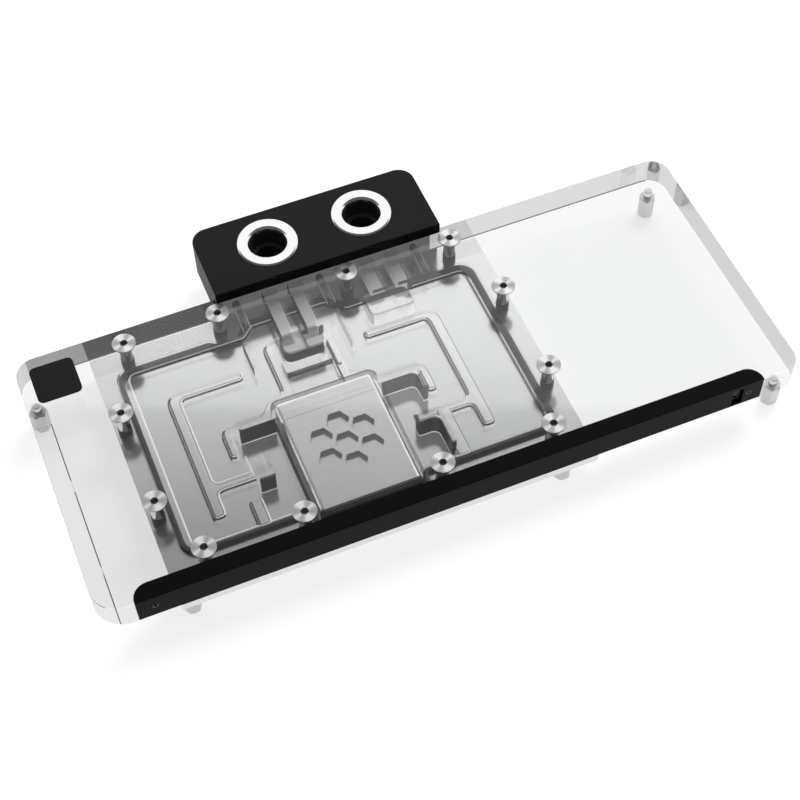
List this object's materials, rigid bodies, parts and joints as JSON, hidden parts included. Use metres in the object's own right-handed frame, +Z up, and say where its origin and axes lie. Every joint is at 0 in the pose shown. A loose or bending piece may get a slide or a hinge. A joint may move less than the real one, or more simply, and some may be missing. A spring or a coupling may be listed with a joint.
{
  "type": "graphics card water block",
  "caption": "Full length graphics card water block: clear cover with milled water channels over a nickel plated base plate, with a raised core and a black terminal with ringed ports.",
  "frame": {"origin": "middle of the bounding box in plan, at the height of the standoffs' lower ends", "axes": "+X along the cover towards the end without the badge, +Y from the light strip towards the terminal, +Z up through the cover"},
  "size_m": [0.238, 0.1274, 0.0241],
  "materials": {
    "clear_acrylic": "clear, polished",
    "bright_nickel": "bright nickel plating, satin",
    "satin_nickel": "satin nickel plating",
    "stainless_steel": "satin",
    "seal_rubber": "matt black",
    "black_acetal": "satin black",
    "polished_chrome": "polished",
    "turned_steel": "turned bright steel",
    "black_aluminium": "black anodised, satin",
    "lamp_board": "white board",
    "socket_plastic": "black",
    "badge_black": "plain black, satin",
    "standoff_steel": "plated steel"
  },
  "bodies": {
    "root": {"top_cover": "clear_acrylic", "base_plate": "bright_nickel", "core_cover": "satin_nickel", "jet_insert": "stainless_steel", "main_seal": "seal_rubber", "terminal_seal_1": "seal_rubber", "terminal_seal_2": "seal_rubber", "terminal_block": "black_acetal", "port_ring_1": "polished_chrome", "port_ring_2": "polished_chrome", "cover_screw_1": "turned_steel", "cover_screw_2": "turned_steel", "cover_screw_3": "turned_steel", "cover_screw_4": "turned_steel", "cover_screw_5": "turned_steel", "cover_screw_6": "turned_steel", "cover_screw_7": "turned_steel", "cover_screw_8": "turned_steel", "cover_screw_9": "turned_steel", "cover_screw_10": "turned_steel", "cover_screw_11": "turned_steel", "cover_screw_12": "turned_steel", "terminal_screw_1": "turned_steel", "terminal_screw_2": "turned_steel", "terminal_screw_3": "turned_steel", "light_strip_cover": "black_aluminium", "light_strip": "lamp_board", "light_socket": "socket_plastic", "strip_screw_1": "turned_steel", "strip_screw_2": "turned_steel", "badge": "badge_black", "cover_standoff_1": "standoff_steel", "cover_standoff_2": "standoff_steel", "cover_standoff_3": "standoff_steel", "plate_standoff_1": "standoff_steel", "plate_standoff_2": "standoff_steel", "plate_standoff_3": "standoff_steel", "plate_standoff_4": "standoff_steel"}
  },
  "joints": []
}
